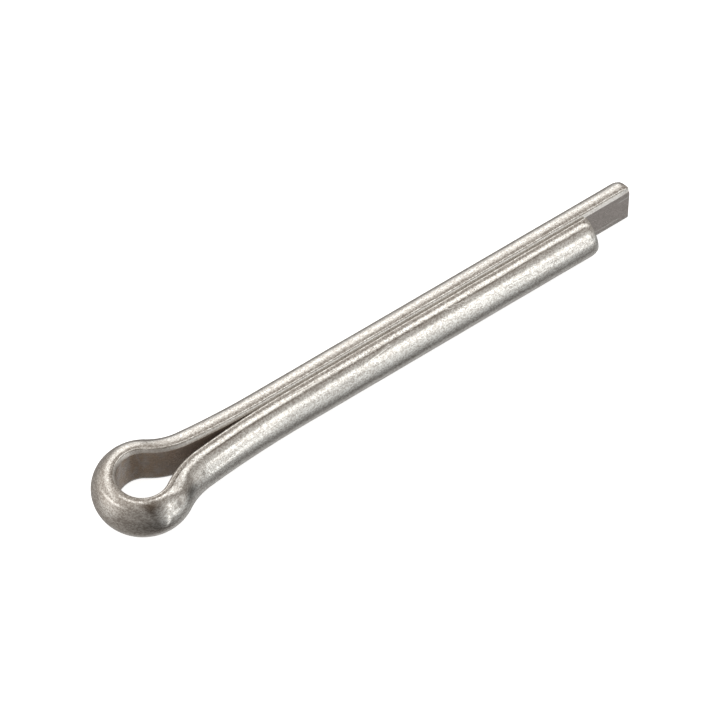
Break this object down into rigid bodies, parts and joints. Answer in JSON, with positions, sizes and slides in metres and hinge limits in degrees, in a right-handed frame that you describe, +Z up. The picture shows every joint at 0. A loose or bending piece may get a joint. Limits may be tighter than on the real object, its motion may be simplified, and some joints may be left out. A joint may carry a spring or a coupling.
{
  "type": "cotter pin",
  "caption": "Split cotter pin of half-round wire, bent round an open eye into a long and a short leg that lie flat to flat as a round shank.",
  "frame": {"origin": "centre of the eye's hole, midway across the wire", "axes": "+X along the closed shank from the eye to the tips, +Y from the short leg towards the long leg, +Z up along the eye's hole, with the pin lying on its side"},
  "size_m": [0.0433, 0.007, 0.0036],
  "materials": {
    "steel": "tumbled stainless steel wire, satin with a fine grain and small scratches"
  },
  "bodies": {
    "root": {"cotter_pin": "steel"}
  },
  "joints": []
}
